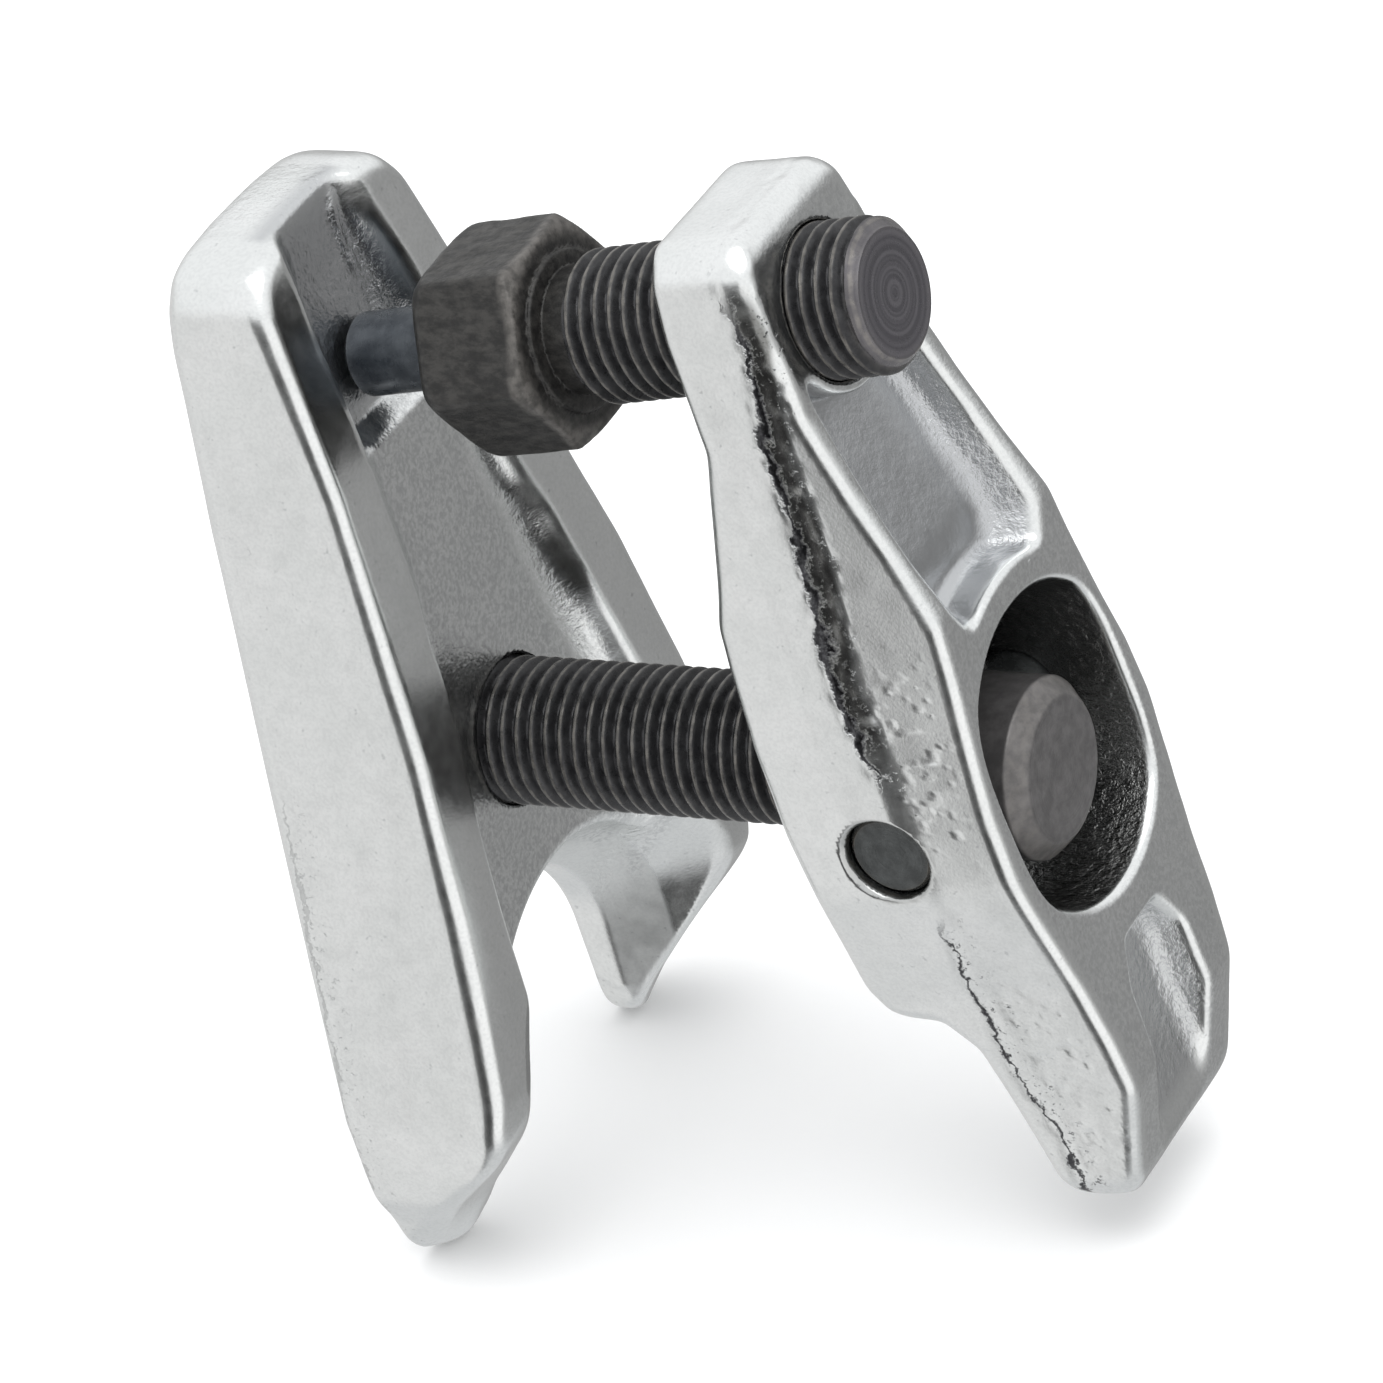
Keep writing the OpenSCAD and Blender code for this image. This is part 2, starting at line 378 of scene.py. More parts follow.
def pocket_ridge(x, y, z):
    """Height of the ragged ridge that runs down the pocket's floor."""
    off = (y - POCKET_RIDGE_Y - 0.5 * noise(z, y, x, 3.1)) / POCKET_RIDGE_HALF
    lengthways = smooth(z, 57, 62) * smooth(z, 72, 69)
    by_floor = smooth(x, 14.2, 13.2) * smooth(x, 9, 11)
    return POCKET_RIDGE_HEIGHT * np.exp(-(off**2)) * lengthways * by_floor


def fork_detail(x, y, z):
    """The fork arm with its forged waves and ridge."""
    return fork_field(x, y, z) + forged_waves(x, y, z) - pocket_ridge(x, y, z)


# The lever arm. Its x and z start at the cross pin's axis.

LEVER_TOP = 76.4
LEVER_FRONT = Outline(
    both(
        [(12.6, -55), (14.3, -50.4), (15.4, -37), (17.2, -22), (WAIST_HALF, -4)]
        + [(WAIST_HALF, 4), (16.4, 36), (15.4, 54), (12.8, 72.4), (9.4, LEVER_TOP)]
    ),
    0.9,
)
LEVER_SIDE = Outline(
    [(-5.4, LEVER_TOP), (-6.2, 66), (-5.8, 52), (-12.9, 30), (-13.6, 15), (-12.9, -4)]
    + [(-13.6, -20), (-12.2, -24), (-9.8, -25.2), (-5.4, -26), (-2.8, -30), (-0.8, -50.6)]
    + [(0.8, -53.4), (3, -54), (8.6, -53.8), (10.6, -51.4), (15.8, -37.4), (16, -30)]
    + [(15.2, -8), (15.2, 10), (15.8, 27), (11, 44), (8.6, 54), (7.4, 72.8), (5.8, 75.2)],
    0.7,
)
LEVER_FACE = Run(
    [(-54, 9), (-51.4, 10.6), (-37.4, 15.8), (-30, 16), (-8, 15.2), (10, 15.2), (27, 15.8)]
    + [(44, 11), (54, 8.6), (72.8, 7.4), (78, 6.8)]
)
LEVER_LOW = [-13.6, -WAIST_HALF, -55]
LEVER_HIGH = [16.2, WAIST_HALF, LEVER_TOP]

# The ragged line left on the lever's sides by the forging die, and the step in front of it.
TRIM_LINE = Run(
    [(-54, 2.6), (-47, 3.5), (-40, 3.2), (-33, 1.5), (-26, 2.2), (-20, 1.8), (-12, 2.8)]
    + [(9.7, 2.7), (15, 2.3), (21, 1.1), (38.5, 2.8), (52, 3.2), (65, 5.2), (74.5, 3.7)],
    1.0,
)
FACET_STEP = Run([(-54, 0.04), (-8, 0.06), (8, 0.45), (20, 0.95), (60, 0.95), (76, 0.7)])
FACET_DRAFT = Run([(-54, 0.03), (-8, 0.04), (10, 0.095), (76, 0.095)])
BACK_DRAFT = 0.03
TRIM_BARE_R = 9
VALLEY_DEPTH = 0.10
VALLEY_HALF = 0.9
LUMP_DEPTH = 0.10
PIT_DEPTH = 0.07

WINDOW_Z = 1.3
WINDOW_R = 18.1
WINDOW_HALF = 15.2
WINDOW_FLARE = 0.05
WINDOW_CORNER = 3.0
SLOT_HALF = 12.2
SLOT_R = WINDOW_R - 1
SLOT_X = -3.0
PIN_HOLE_CHAMFER = 0.6
UPPER_PANEL = Outline(both([(8.8, 21.5), (11.6, 27), (12, 34), (10.4, 57)]), 0.7)
UPPER_FLOOR = Run([(57, 3.2), (50, 4), (30, 9.6), (20, 9.6)])
LOWER_PANEL = Outline(both([(5.6, -62), (7.8, -38), (7.4, -28), (4.6, -22.6)]), 0.7)
LOWER_FLOOR = Run([(-20, 11.6), (-34, 10.8), (-60, 10.6)])
LOWER_DRAFT = 0.45
PANEL_FILLET = 1.8
BOSS_R = 10.6
FRAME_R = 23.5

# Radii of the lever's rounded edges.
SIDE_RIM = 2.6
UPPER_RIM = 1.2
LOWER_RIM = 0.8
WINDOW_RIM = 1.3
BOSS_RIM = 1.0
FRAME_RIM = 1.5
SCREW_RIM = 0.6
PIN_RIM = 0.25


def panel(x, y, z, outline, floor, draft):
    """A sunk panel with drafted walls and a filleted floor."""
    wall = drafted(outline(y, z), x - LEVER_FACE(z), draft)
    return meet(wall, floor(z) - x, PANEL_FILLET)


def from_window(y, z):
    """Distance from the window's middle."""
    return np.hypot(y, z - WINDOW_Z)


def upper_panel(x, y, z):
    """The upper panel, which stops at the boss above it and at the window's frame below it."""
    draft = blend(0.3, 0.55, smooth(z, 44, 34))
    sunk = panel(x, y, z, UPPER_PANEL, UPPER_FLOOR, draft)
    sunk = meet(sunk, BOSS_R - np.hypot(y, z - SCREW_ARM), BOSS_RIM)
    return meet(sunk, FRAME_R - from_window(y, z), FRAME_RIM)


def lever_window(x, y, z):
    """The round window with straight sides, and the narrower slot behind it."""
    out = from_window(y, z)
    flare = WINDOW_FLARE * x
    front = meet(out - WINDOW_R - flare, np.abs(y) - WINDOW_HALF - flare, WINDOW_CORNER)
    front = meet(front, SLOT_X - x, 1.2)
    slot = meet(out - SLOT_R, np.abs(y) - SLOT_HALF, WINDOW_CORNER)
    return np.minimum(front, slot)


def pin_hole(x, y, z):
    """The cross pin's hole, with a chamfer at each end."""
    flare = np.maximum(np.abs(y) - (WAIST_HALF - PIN_HOLE_CHAMFER), 0)
    return np.hypot(x, z) - (PIN_R + 0.05) - flare


def trim_share(x, z):
    """Where the ragged trim line shows: not round the pin."""
    return smooth(np.hypot(x, z), TRIM_BARE_R, TRIM_BARE_R + 4)


def trim_groove(x, y, z):
    """Depth of the ragged valley left on the lever's sides by the forging die."""
    off = x - TRIM_LINE(z)
    ragged = 0.5 * noise(z, 0 * z, y * 0.2, 2.3)
    valley = VALLEY_DEPTH * np.exp(-(((off - ragged) / VALLEY_HALF) ** 2))
    lumps = LUMP_DEPTH * noise(x, y, z, 1.4) * smooth(np.abs(off - 1.2), 2.6, 1.6)
    return trim_share(x, z) * (valley + lumps * smooth(z, 4, 14))


def pits(x, y, z):
    """Depth of the scattered pits on the lever's sides, thickest round the pin."""
    thick = smooth(np.abs(z - 12), 16, 6) + 0.8 * smooth(np.abs(z + 34), 20, 8)
    thick = thick * smooth(x, 3, 6) * smooth(x, 14, 11)
    spots = smooth(noise(x, y, z, 1.3), 0.35, 0.8) + 0.6 * smooth(noise(z, x, y, 0.9), 0.35, 0.8)
    return PIT_DEPTH * thick * spots


def on_side(y, z):
    """1 on the lever's outer sides, falling to 0 inside it."""
    return smooth(LEVER_FRONT(np.abs(y), z), -3.5, -1.8)


def lever_solid(x, y, z):
    """The lever without its panels and holes; its sides step in at the trim line."""
    past = x - TRIM_LINE(z)
    side = np.abs(y) + FACET_DRAFT(z) * np.maximum(past, 0)
    side = side + FACET_STEP(z) * (smooth(past, 0, 3.2) - 0.35)
    side = side + BACK_DRAFT * np.maximum(-4 - x, 0)
    rim = SIDE_RIM - 0.8 * smooth(x, 0, 8) - 0.4 * smooth(z, 56, 66)
    return meet(LEVER_SIDE(x, z), LEVER_FRONT(side, z), rim)


def lever_field(x, y, z):
    """The lever arm, with plain surfaces."""
    solid = cut(lever_solid(x, y, z), upper_panel(x, y, z), UPPER_RIM)
    solid = cut(solid, panel(x, y, z, LOWER_PANEL, LOWER_FLOOR, LOWER_DRAFT), LOWER_RIM)
    solid = cut(solid, lever_window(x, y, z), WINDOW_RIM)
    solid = cut(solid, np.hypot(y, z - SCREW_ARM) - BORE_R, SCREW_RIM)
    return cut(solid, pin_hole(x, y, z), PIN_RIM)


def lever_detail(x, y, z):
    """The lever with its forged waves, trim line and pits."""
    marks = on_side(y, z) * (trim_groove(x, y, z) + pits(x, y, z))
    return lever_field(x, y, z) + forged_waves(x, y, z) + marks


# The hexagon of the forcing screw and the head of the pivot bolt.

HEX_X = -42.4
HEX_LEN = 15.2
HEX_FACE = HEX_X + HEX_LEN
HEX_FLATS = 24.0
HEX_TURN = np.radians(32)
HEX_CORNER = HEX_FLATS / np.sqrt(3)
HEX_ANGLES = HEX_TURN + np.pi / 3 * np.arange(6)
HEXAGON = Outline([(HEX_CORNER * np.sin(a), -HEX_CORNER * np.cos(a)) for a in HEX_ANGLES], 0.45)
HEX_BACK_R = 12.2
HEX_BACK_SLOPE = 0.8
HEX_BACK_RIM = 2.4
HEX_FACE_R = 11.9
HEX_FACE_SLOPE = 1.7
COLLAR_R = 9.6
COLLAR_LEN = 0.5
UNDERCUT_R = 7.5
THRUST_DEPTH = 10.0
THREAD_START = -23.8
NECK_END = THREAD_START + 0.4
SCREW_END = 16.4
HEX_LOW = [HEX_X, -14, -14]
HEX_HIGH = [NECK_END, 14, 14]

HEAD_BACK = -9.6
HEAD_CHAMFER = 2.2
HEAD_LOW = [HEAD_BACK, -HEAD_R, -HEAD_R]
HEAD_HIGH = [HEAD_END, HEAD_R, HEAD_R]


def hexagon_field(x, y, z):
    """The hexagon chamfered at both ends, its collar and neck, and the thrust pin's hole."""
    out = np.hypot(y, z)
    solid = meet(HEXAGON(y, z), HEX_X - x, HEX_BACK_RIM)
    solid = meet(solid, drafted(out - HEX_BACK_R, x - HEX_X, HEX_BACK_SLOPE), 1.0)
    solid = meet(solid, x - HEX_FACE, 0.5)
    solid = meet(solid, drafted(out - HEX_FACE_R, HEX_FACE - x, HEX_FACE_SLOPE), 0.35)
    collar = meet(out - COLLAR_R, x - HEX_FACE - COLLAR_LEN, 0.45)
    neck = meet(out - UNDERCUT_R, x - NECK_END, 0.2)
    shank = np.maximum(np.minimum(collar, neck), HEX_FACE - 1 - x)
    solid = np.minimum(solid, shank)
    bore = meet(out - THRUST_R - 0.05, x - HEX_X - THRUST_DEPTH, 0.4)
    return cut(solid, bore, 0.4)


def hexagon_detail(x, y, z):
    """The hexagon with the lumps of its hot-forged faces, which leave its front face flat."""
    rough = 0.10 * noise(x, y, z, 4.2) + 0.06 * noise(x, y, z, 1.7)
    return hexagon_field(x, y, z) + rough * smooth(HEX_FACE - x, 0.2, 2.5) + 0.05


def head_field(x, y, z):
    """The pivot bolt's plain round head, with a chamfer in front and the cross pin's hole."""
    out = np.hypot(y, z)
    solid = meet(out - HEAD_R, x - HEAD_END, 0.4)
    solid = meet(solid, HEAD_BACK - x, 0.6)
    solid = meet(solid, drafted(out - HEAD_R + HEAD_CHAMFER, HEAD_END - x, 1), 0.15)
    return cut(solid, np.hypot(x, z) - PIN_R - 0.1, 0.4)


# Meshes.


def settle(field, points, steps=3, furthest=0.4):
    """Points moved onto the surface where the field is nothing, and the normals there."""
    for _ in range(steps):
        value, slope = gradient(field, points)
        steepness = np.maximum((slope**2).sum(1, keepdims=True), 0.1)
        points = points - np.clip(value[:, None] * slope / steepness, -furthest, furthest)
    slope = gradient(field, points)[1]
    return points, slope / np.maximum(np.linalg.norm(slope, axis=1, keepdims=True), 1e-6)


def gradient(field, points, reach=0.12):
    """A field's value and slope at each point."""
    x, y, z = points.T
    slope = [
        field(x + reach, y, z) - field(x - reach, y, z),
        field(x, y + reach, z) - field(x, y - reach, z),
        field(x, y, z + reach) - field(x, y, z - reach),
    ]
    return field(x, y, z), np.stack(slope, 1) / (2 * reach)


def crossing_cells(values):
    """The cells that the surface passes through, and the middle of its crossings in each."""
    inside = values < 0
    count = np.zeros(np.array(values.shape) - 1, np.int8)
    corners = list(np.ndindex(2, 2, 2))
    for c in corners:
        count += inside[tuple(slice(k, k + n) for k, n in zip(c, count.shape))]
    cells = np.argwhere((count > 0) & (count < 8))
    at_corner = {c: values[tuple((cells + c).T)] for c in corners}
    total = np.zeros((len(cells), 3))
    crossings = np.zeros(len(cells))
    for a in corners:
        for axis in range(3):
            if a[axis] == 1:
                continue
            b = tuple(1 if k == axis else a[k] for k in range(3))
            crossed = (at_corner[a] < 0) != (at_corner[b] < 0)
            t = at_corner[a][crossed] / (at_corner[a][crossed] - at_corner[b][crossed])
            total[crossed] += np.array(a, float)
            total[crossed, axis] += t
            crossings[crossed] += 1
    return cells, total / crossings[:, None]


def crossing_faces(inside, cells):
    """A face round each grid edge that the surface crosses, joining the four cells about it."""
    number = np.full(np.array(inside.shape) - 1, -1)
    number[tuple(cells.T)] = np.arange(len(cells))
    faces = []
    for axis in range(3):
        first, second = (axis + 1) % 3, (axis + 2) % 3
        here = [slice(None)] * 3
        there = [slice(None)] * 3
        here[axis] = slice(0, -1)
        there[axis] = slice(1, None)
        for rising in (False, True):
            a, b = inside[tuple(here)], inside[tuple(there)]
            edges = np.argwhere(~a & b if rising else a & ~b)
            around = []
            for i, j in ((0, 0), (1, 0), (1, 1), (0, 1)):
                cell = edges.copy()
                cell[:, first] -= i
                cell[:, second] -= j
                around.append(number[tuple(cell.T)])
            quad = np.stack(around, 1)
            faces.append(quad[:, ::-1] if rising else quad)
    return np.concatenate(faces).tolist()


def surface(field, low, high, step, detail):
    """Points, faces and normals of a field's surface inside a box, moved onto its detail."""
    axes = [np.arange(a - 1.5 * step, b + 2.5 * step, step) for a, b in zip(low, high)]
    values = field(axes[0][:, None, None], axes[1][None, :, None], axes[2][None, None, :])
    cells, middles = crossing_cells(values)
    points = np.array([axis[0] for axis in axes]) + step * (cells + middles)
    faces = crossing_faces(values < 0, cells)
    points, normals = settle(detail, points)
    return points, faces, normals


COLUMNS = 96
CAP_RINGS = np.array([0.97, 0.85, 0.6, 0.35, 0.1])
THREAD_DEPTH = 0.54 * PITCH
THREAD_STEP = PITCH / 16


def lathe(x, r):
    """Points and faces turned about x, where r has a row for each x and a column for each angle."""
    rows, columns = r.shape
    angle = 2 * np.pi * np.arange(columns) / columns
    points = np.stack(
        [np.repeat(x, columns), (r * np.cos(angle)).ravel(), (r * np.sin(angle)).ravel()], 1
    )
    index = np.arange(rows * columns).reshape(rows, columns)
    after = np.roll(index, -1, 1)
    quads = np.stack([index[:-1], after[:-1], after[1:], index[1:]], 2).reshape(-1, 4)
    ends = np.array([[x[0], 0, 0], [x[-1], 0, 0]])
    first, last = len(points), len(points) + 1
    fans = [[first, after[0, k], index[0, k]] for k in range(columns)]
    fans += [[last, index[-1, k], after[-1, k]] for k in range(columns)]
    return np.concatenate([points, ends]), quads.tolist() + fans


def end_cap(x, r):
    """Rows of a flat end of radius r, from its rim in to near its middle."""
    return np.full(len(CAP_RINGS), x), np.repeat(r * CAP_RINGS[:, None], COLUMNS, 1)


def threaded(start, end, start_r, end_chamfer):
    """Rows of a threaded rod from a neck to a chamfered end, and where its crests are."""
    x = np.append(np.arange(start, end, THREAD_STEP), end)[:, None]
    phase = (x / PITCH - np.arange(COLUMNS) / COLUMNS) % 1
    crest = np.clip((1 - np.abs(2 * phase - 1) - 0.1) / 0.74, 0, 1)
    crest = blend(crest, smooth(crest, 0, 1), 0.4)
    r = THREAD_R - THREAD_DEPTH * (1 - crest)
    r = np.minimum(r, start_r + 1.3 * (x - start))
    r = np.minimum(r, THREAD_R - end_chamfer + end - x)
    return x[:, 0], r, crest


def plain_pin(length, r, chamfer):
    """A turned pin from 0 to its length along x, chamfered at both ends."""
    rim = np.array([0.0, 0.3, 0.7, 1.0]) * chamfer
    body = np.linspace(2 * chamfer, length - 2 * chamfer, 40)
    x = np.concatenate([rim, body, length - rim[::-1]])
    inset = np.minimum(np.minimum(x, length - x), chamfer)
    rows = np.repeat((r - chamfer + inset)[:, None], COLUMNS, 1)
    cap_x, cap_r = end_cap(length, rows[-1, 0])
    return lathe(
        np.concatenate([0 * cap_x, x, cap_x]), np.concatenate([cap_r[::-1], rows, cap_r])
    )


BODIES = {
    "fork_arm": "fork",
    "lever_arm": "lever",
    "cross_pin": "lever",
    "pivot_bolt": "bolt",
    "forcing_screw": "screw",
    "thrust_pin": "thrust",
}
SHARP_ANGLE = np.radians(38)


def piece(name, node, place, shape, marks, material):
    """Makes a mesh object that stands for a CAD node and moves with its body.

    Its shape is points, faces and normals, and its marks give a value at each point that the
    material reads by name. With no normals, the mesh is smooth but for its sharp edges.
    """
    points, faces, normals = shape
    mesh = bpy.data.meshes.new(name)
    low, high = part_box(node)
    world = np.clip(place.metres(points), np.array(low), np.array(high))
    mesh.from_pydata(world, [], faces)
    mesh.shade_smooth()
    if normals is None:
        mesh.set_sharp_from_angle(angle=SHARP_ANGLE)
    else:
        mesh.normals_split_custom_set_from_vertices(place.turned(normals))
    for mark, values in marks.items():
        attribute = mesh.attributes.new(mark, "FLOAT", "POINT")
        attribute.data.foreach_set("value", np.asarray(values, np.float32))
    mesh.materials.append(material)
    thing = bpy.data.objects.new(name, mesh)
    bpy.context.scene.collection.objects.link(thing)
    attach(thing, BODIES[node])
    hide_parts(node)


# Materials.


class Nodes:
    """A node tree, and short ways to add to it."""

    def __init__(self, tree):
        self.nodes = tree.nodes
        self.links = tree.links

    def new(self, kind):
        """Adds a node of a kind."""
        return self.nodes.new("ShaderNode" + kind)

    def feed(self, socket, value):
        """Gives a socket a number, or links another socket to it."""
        if isinstance(value, bpy.types.NodeSocket):
            self.links.new(value, socket)
        else:
            socket.default_value = value

    def math(self, operation, a, b=0.0):
        """The result of a sum on one or two values."""
        node = self.new("Math")
        node.operation = operation
        self.feed(node.inputs[0], a)
        self.feed(node.inputs[1], b)
        return node.outputs[0]

    def remap(self, value, low, high, to_low, to_high, easing="SMOOTHSTEP"):
        """A value between low and high, brought to between to_low and to_high."""
        node = self.new("MapRange")
        node.interpolation_type = easing
        for socket, v in zip(node.inputs, (value, low, high, to_low, to_high)):
            self.feed(socket, v)
        return node.outputs[0]

    def mix(self, factor, a, b):
        """Colour a, turning to colour b as the factor grows."""
        node = self.new("Mix")
        node.data_type = "RGBA"
        self.feed(node.inputs["Factor"], factor)
        for socket, colour in ((node.inputs[6], a), (node.inputs[7], b)):
            self.feed(socket, colour if isinstance(colour, bpy.types.NodeSocket) else (*colour, 1))
        return node.outputs[2]


class Finish(Nodes):
    """A procedural material, with textures sized in millimetres on the piece itself."""

    def __init__(self, name, metallic=0.0):
        self.material = bpy.data.materials.new(name)
        self.material.use_nodes = True
        super().__init__(self.material.node_tree)
        self.shader = self.nodes["Principled BSDF"]
        self.shader.inputs["Metallic"].default_value = metallic
        self.place = self.new("TexCoord").outputs["Object"]

    def stretched(self, x, y, z):
        """The place, scaled differently along each axis."""
        node = self.new("Mapping")
        self.feed(node.inputs["Vector"], self.place)
        node.inputs["Scale"].default_value = (x, y, z)
        return node.outputs["Vector"]

    def noise(self, size_mm, detail=3.0, vector=None, rough=0.55):
        """Cloudy noise of about that size, between 0 and 1."""
        node = self.new("TexNoise")
        self.feed(node.inputs["Vector"], vector or self.place)
        node.inputs["Scale"].default_value = 1 / (size_mm * MM)
        node.inputs["Detail"].default_value = detail
        node.inputs["Roughness"].default_value = rough
        return node.outputs["Fac"]

    def rings(self, size_mm):
        """Fine lines that follow the piece's turning marks, held in its ring mark."""
        node = self.new("CombineXYZ")
        self.feed(node.inputs[0], self.math("MULTIPLY", self.mark("ring"), MM))
        return self.noise(size_mm, 2.0, node.outputs[0])

    def mark(self, name):
        """A mark that the piece carries at each of its points, or 0 if it has none."""
        node = self.new("Attribute")
        node.attribute_name = name
        return node.outputs["Fac"]

    def bump(self, height, depth_mm, before=None, strength=1.0):
        """Bumps added to the bumps before."""
        node = self.new("Bump")
        self.feed(node.inputs["Height"], height)
        node.inputs["Distance"].default_value = depth_mm * MM
        self.feed(node.inputs["Strength"], strength)
        if before is not None:
            self.feed(node.inputs["Normal"], before)
        return node.outputs["Normal"]

    def finish(self, colour, roughness, normal):
        """The material, with its shader fed."""
        self.feed(self.shader.inputs["Base Color"], colour)
        self.feed(self.shader.inputs["Roughness"], roughness)
        self.feed(self.shader.inputs["Normal"], normal)
        return self.material


PLATE = (0.825, 0.84, 0.832)
PLATE_LIGHT = (0.865, 0.876, 0.87)
# Painted shade for the sunk faces.
PLATE_SUNK_SHADE = (0.55, 0.56, 0.57)
# Painted shade inside the window and round the pin hole, and the colour of the dark band along the
# trim line.
PLATE_SHADE_AND_BAND = (0.21, 0.21, 0.20)
PLATE_GRAIN = (0.50, 0.51, 0.52)
PLATE_DOT = (0.42, 0.43, 0.44)
PLATE_SPECK = (0.45, 0.46, 0.47)
CRACK_COLOUR = (0.06, 0.06, 0.065)


def ragged_crack(f):
    """How much of a crack runs here, along the trim line."""
    wander = f.math("MULTIPLY", f.math("SUBTRACT", f.noise(2.6, 5, rough=0.7), 0.5), 4.5)
    off = f.math("ABSOLUTE", f.math("ADD", f.mark("trim"), wander))
    width = f.remap(f.mark("upper"), 0.0, 1.0, 0.46, 0.9)
    width = f.math("MULTIPLY", width, f.remap(f.noise(5, 3), 0.35, 0.65, 0.4, 1.3))
    line = f.remap(f.math("DIVIDE", off, width), 0.35, 1.0, 1.0, 0.0)
    beside = f.math("ABSOLUTE", f.math("SUBTRACT", f.mark("trim"), 1.6))
    beside = f.remap(beside, 1.0, 2.4, 1.0, 0.0)
    spots = f.remap(f.noise(0.8, 4, rough=0.7), 0.60, 0.68, 0.0, 0.9)
    line = f.math("MAXIMUM", line, f.math("MULTIPLY", beside, spots))
    return f.math("MULTIPLY", line, f.mark("seam"))


def plate_colour(f, crack):
    """Cloudy zinc with painted shade in the sunk faces, inside the window and round the pin hole,
    darker along the dark band and in the crack, with grains, dots and specks.
    """
    colour = f.mix(f.remap(f.noise(9, 4), 0.35, 0.7, 0.0, 1.0), PLATE, PLATE_LIGHT)
    # Painted shade: the sunk faces are darkened where shade would fall in them.
    colour = f.mix(f.mark("sunk"), colour, PLATE_SUNK_SHADE)
    # Painted shade inside the window and round the pin hole, with the dark band along the trim
    # line.
    colour = f.mix(f.mark("shade_and_band"), colour, PLATE_SHADE_AND_BAND)
    colour = f.mix(crack, colour, CRACK_COLOUR)
    colour = f.mix(f.remap(f.noise(0.45, 2), 0.42, 0.62, 0.0, 0.12), colour, PLATE_GRAIN)
    dots = f.remap(f.noise(0.7, 3, rough=0.7), 0.40, 0.60, 0.0, 0.42)
    colour = f.mix(f.math("MULTIPLY", dots, f.mark("front")), colour, PLATE_DOT)
    return f.mix(f.remap(f.noise(0.9, 2), 0.68, 0.78, 0.0, 0.4), colour, PLATE_SPECK)


def plated_steel(name):
    """Bright zinc plate on forged steel: satin, grainy where sunk and milled in the notch."""
    f = Finish(name, metallic=1.0)
    crack = ragged_crack(f)
    colour = plate_colour(f, crack)
    roughness = f.remap(f.noise(2.2, 3), 0.3, 0.7, 0.19, 0.27)
    roughness = f.math("ADD", roughness, f.math("MULTIPLY", f.mark("milled"), 0.26))
    grain = f.bump(f.noise(0.35, 2), 0.011)
    sparkle = f.bump(f.noise(0.7, 3), 0.06, grain, f.mark("front"))
    lumps = f.bump(f.noise(2.4, 3), 0.006, sparkle)
    rough_floor = f.bump(f.noise(1.3, 4, rough=0.65), 0.5, lumps, f.mark("coarse"))
    milled = f.bump(f.rings(0.28), 0.05, rough_floor, f.mark("milled"))
    cracked = f.bump(f.math("MULTIPLY", crack, -1.0), 0.2, milled)
    return f.finish(colour, roughness, cracked)


# Each black finish's dark, light and rubbed colours.
THREAD_COLOURS = ((0.026, 0.026, 0.028), (0.052, 0.052, 0.054), (0.30, 0.28, 0.25))
HEAD_COLOURS = ((0.085, 0.082, 0.082), (0.13, 0.125, 0.125), (0.30, 0.28, 0.26))
SCREW_COLOURS = ((0.016, 0.0155, 0.015), (0.046, 0.044, 0.041), (0.16, 0.15, 0.14))
PIN_COLOURS = ((0.035, 0.038, 0.038), (0.065, 0.070, 0.070), (0.14, 0.12, 0.10))
THRUST_COLOURS = ((0.030, 0.036, 0.044), (0.060, 0.068, 0.078), (0.20, 0.21, 0.22))
END_COLOURS = ((0.072, 0.069, 0.077), (0.115, 0.110, 0.120))


def blackened(
    name, colours, rough=0.36, lumps=0.03, grain=0.012, streak=1.0, cloud=2.4, metallic=0.35
):
    """Oxide on steel, from dark to light in clouds and lighter still where it is rubbed.

    Its lumps and grain are depths and its cloud is a size, in millimetres.
    """
    dark, light, worn = colours
    f = Finish(name, metallic)
    cloudy = f.noise(cloud, 5, f.stretched(streak, 1, 1), rough=0.65)
    colour = f.mix(f.remap(cloudy, 0.35, 0.68, 0.0, 1.0), dark, light)
    end_colour = f.mix(f.remap(f.rings(0.8), 0.42, 0.60, 0.0, 1.0), *END_COLOURS)
    colour = f.mix(f.mark("end"), colour, end_colour)
    scuffs = f.remap(f.noise(1.3, 4), 0.35, 0.65, 0.35, 1.0)
    colour = f.mix(f.math("MULTIPLY", f.mark("wear"), scuffs), colour, worn)
    roughness = f.remap(f.noise(1.1, 3), 0.3, 0.7, rough, rough + 0.13)
    grains = f.bump(f.noise(0.4, 3), grain)
    lump = f.bump(f.noise(1.4, 4, f.stretched(streak, 1, 1)), lumps, grains)
    turned = f.bump(f.rings(0.35), 0.05, lump, f.mark("turned"))
    return f.finish(colour, roughness, turned)


def thread_finish(name):
    """The glossy black of the threads."""
    return blackened(name, THREAD_COLOURS, rough=0.24, metallic=0.5)


# The pieces.


